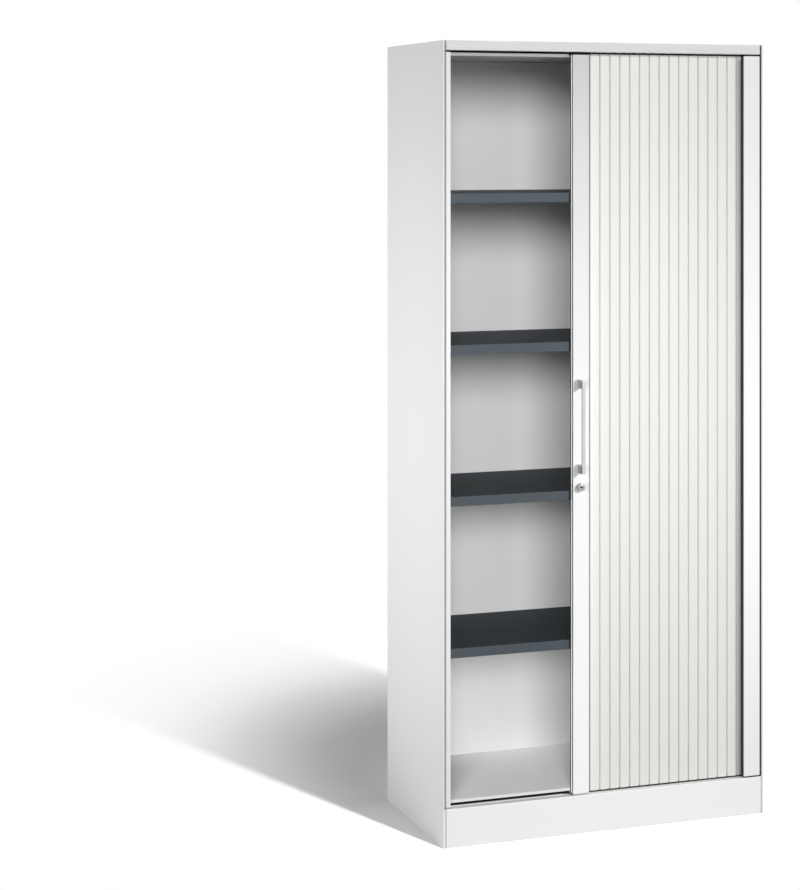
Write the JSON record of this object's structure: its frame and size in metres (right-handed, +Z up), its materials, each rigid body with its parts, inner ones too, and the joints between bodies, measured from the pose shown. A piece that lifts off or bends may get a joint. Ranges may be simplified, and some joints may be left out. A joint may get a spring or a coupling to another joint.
{
  "type": "roll front tool cabinet",
  "caption": "Tall sheet-steel cabinet with a sideways tambour shutter on a leading rail with bow handle and cylinder lock, slotted uprights and adjustable shelves.",
  "frame": {"origin": "centre of the footprint on the floor, with the handle's reach and the rear screw heads counted in", "axes": "+Z up, the shutter front faces -Y, +X to the right of somebody facing the front"},
  "size_m": [0.88, 0.456, 1.98],
  "materials": {
    "white_paint": "semi-gloss powder coat",
    "grey_paint": "semi-gloss powder coat",
    "anthracite_paint": "matt powder coat",
    "galvanised_steel": "zinc plated",
    "slat_plastic": "fine satin grain",
    "black_plastic": "matt",
    "grey_plastic": "satin",
    "black_rubber": "matt",
    "rail_aluminium": "satin anodised",
    "satin_chrome": "satin"
  },
  "bodies": {
    "cabinet": {"back_inner_wall": "white_paint", "back_panel": "white_paint", "back_screws": "galvanised_steel", "base_panel": "white_paint", "corner_slats": "slat_plastic", "floor_panel": "white_paint", "left_front_post": "grey_paint", "left_inner_wall": "white_paint", "left_side_panel": "white_paint", "lock_keeper": "galvanised_steel", "lower_track": "grey_paint", "plinth_front": "white_paint", "plinth_rear": "white_paint", "plinth_sides": "white_paint", "pocket_slats": "slat_plastic", "post_seal": "black_rubber", "right_front_post": "white_paint", "right_inner_wall": "white_paint", "right_side_panel": "white_paint", "roof_panel": "white_paint", "shelf_1": "anthracite_paint", "shelf_2": "anthracite_paint", "shelf_3": "anthracite_paint", "shelf_4": "anthracite_paint", "shelf_clips": "galvanised_steel", "top_panel": "white_paint", "upper_track": "black_plastic", "upright_front_left": "galvanised_steel", "upright_front_right": "galvanised_steel", "upright_rear_left": "galvanised_steel", "upright_rear_right": "galvanised_steel"},
    "shutter": {"leading_rail": "rail_aluminium", "rail_caps": "grey_plastic", "edge_seals": "black_rubber", "handle": "satin_chrome", "handle_screws": "galvanised_steel", "lock_housing": "satin_chrome"},
    "latch": {"lock_cylinder": "satin_chrome", "lock_hook": "galvanised_steel", "hook_screw": "galvanised_steel"},
    "slat_01": {"slat_01": "slat_plastic"},
    "slat_02": {"slat_02": "slat_plastic"},
    "slat_03": {"slat_03": "slat_plastic"},
    "slat_04": {"slat_04": "slat_plastic"},
    "slat_05": {"slat_05": "slat_plastic"},
    "slat_06": {"slat_06": "slat_plastic"},
    "slat_07": {"slat_07": "slat_plastic"},
    "slat_08": {"slat_08": "slat_plastic"},
    "slat_09": {"slat_09": "slat_plastic"},
    "slat_10": {"slat_10": "slat_plastic"},
    "slat_11": {"slat_11": "slat_plastic"},
    "slat_12": {"slat_12": "slat_plastic"},
    "slat_13": {"slat_13": "slat_plastic"},
    "slat_14": {"slat_14": "slat_plastic"},
    "slat_15": {"slat_15": "slat_plastic"}
  },
  "joints": [
    {"name": "shutter_slide", "type": "slide", "parent": "cabinet", "child": "shutter", "axis": [1, 0, 0], "range_m": [-0.325, 0.411], "deforming": ["slat_01", "slat_02", "slat_03", "slat_04", "slat_05", "slat_06", "slat_07", "slat_08", "slat_09", "slat_10", "slat_11", "slat_12", "slat_13", "slat_14", "slat_15"]},
    {"name": "lock_turn", "type": "hinge", "parent": "shutter", "child": "latch", "pos_m": [-0.074, -0.19855, 0.867], "axis": [0, 1, 0], "range_deg": [0, 90]},
    {"name": "slat_01_slide", "type": "slide", "parent": "cabinet", "child": "slat_01", "axis": [1, 0, 0], "range_m": [-0.3255, 0.4115]},
    {"name": "slat_02_slide", "type": "slide", "parent": "cabinet", "child": "slat_02", "axis": [1, 0, 0], "range_m": [-0.3048, 0.3854]},
    {"name": "slat_03_slide", "type": "slide", "parent": "cabinet", "child": "slat_03", "axis": [1, 0, 0], "range_m": [-0.2842, 0.3592]},
    {"name": "slat_04_slide", "type": "slide", "parent": "cabinet", "child": "slat_04", "axis": [1, 0, 0], "range_m": [-0.2635, 0.3331]},
    {"name": "slat_05_slide", "type": "slide", "parent": "cabinet", "child": "slat_05", "axis": [1, 0, 0], "range_m": [-0.2428, 0.3069]},
    {"name": "slat_06_slide", "type": "slide", "parent": "cabinet", "child": "slat_06", "axis": [1, 0, 0], "range_m": [-0.2222, 0.2808]},
    {"name": "slat_07_slide", "type": "slide", "parent": "cabinet", "child": "slat_07", "axis": [1, 0, 0], "range_m": [-0.2015, 0.2547]},
    {"name": "slat_08_slide", "type": "slide", "parent": "cabinet", "child": "slat_08", "axis": [1, 0, 0], "range_m": [-0.1808, 0.2285]},
    {"name": "slat_09_slide", "type": "slide", "parent": "cabinet", "child": "slat_09", "axis": [1, 0, 0], "range_m": [-0.1601, 0.2024]},
    {"name": "slat_10_slide", "type": "slide", "parent": "cabinet", "child": "slat_10", "axis": [1, 0, 0], "range_m": [-0.1395, 0.1762]},
    {"name": "slat_11_slide", "type": "slide", "parent": "cabinet", "child": "slat_11", "axis": [1, 0, 0], "range_m": [-0.1188, 0.1501]},
    {"name": "slat_12_slide", "type": "slide", "parent": "cabinet", "child": "slat_12", "axis": [1, 0, 0], "range_m": [-0.0981, 0.124]},
    {"name": "slat_13_slide", "type": "slide", "parent": "cabinet", "child": "slat_13", "axis": [1, 0, 0], "range_m": [-0.0775, 0.0978]},
    {"name": "slat_14_slide", "type": "slide", "parent": "cabinet", "child": "slat_14", "axis": [1, 0, 0], "range_m": [-0.0568, 0.0717]},
    {"name": "slat_15_slide", "type": "slide", "parent": "cabinet", "child": "slat_15", "axis": [1, 0, 0], "range_m": [-0.0361, 0.0455]}
  ],
  "couplings": [
    {"joint": "slat_01_slide", "follows": "shutter_slide", "ratio": 1},
    {"joint": "slat_02_slide", "follows": "shutter_slide", "ratio": 0.9364},
    {"joint": "slat_03_slide", "follows": "shutter_slide", "ratio": 0.8728},
    {"joint": "slat_04_slide", "follows": "shutter_slide", "ratio": 0.8092},
    {"joint": "slat_05_slide", "follows": "shutter_slide", "ratio": 0.7456},
    {"joint": "slat_06_slide", "follows": "shutter_slide", "ratio": 0.682},
    {"joint": "slat_07_slide", "follows": "shutter_slide", "ratio": 0.6184},
    {"joint": "slat_08_slide", "follows": "shutter_slide", "ratio": 0.5548},
    {"joint": "slat_09_slide", "follows": "shutter_slide", "ratio": 0.4912},
    {"joint": "slat_10_slide", "follows": "shutter_slide", "ratio": 0.4276},
    {"joint": "slat_11_slide", "follows": "shutter_slide", "ratio": 0.364},
    {"joint": "slat_12_slide", "follows": "shutter_slide", "ratio": 0.3004},
    {"joint": "slat_13_slide", "follows": "shutter_slide", "ratio": 0.2368},
    {"joint": "slat_14_slide", "follows": "shutter_slide", "ratio": 0.1732},
    {"joint": "slat_15_slide", "follows": "shutter_slide", "ratio": 0.1096}
  ]
}
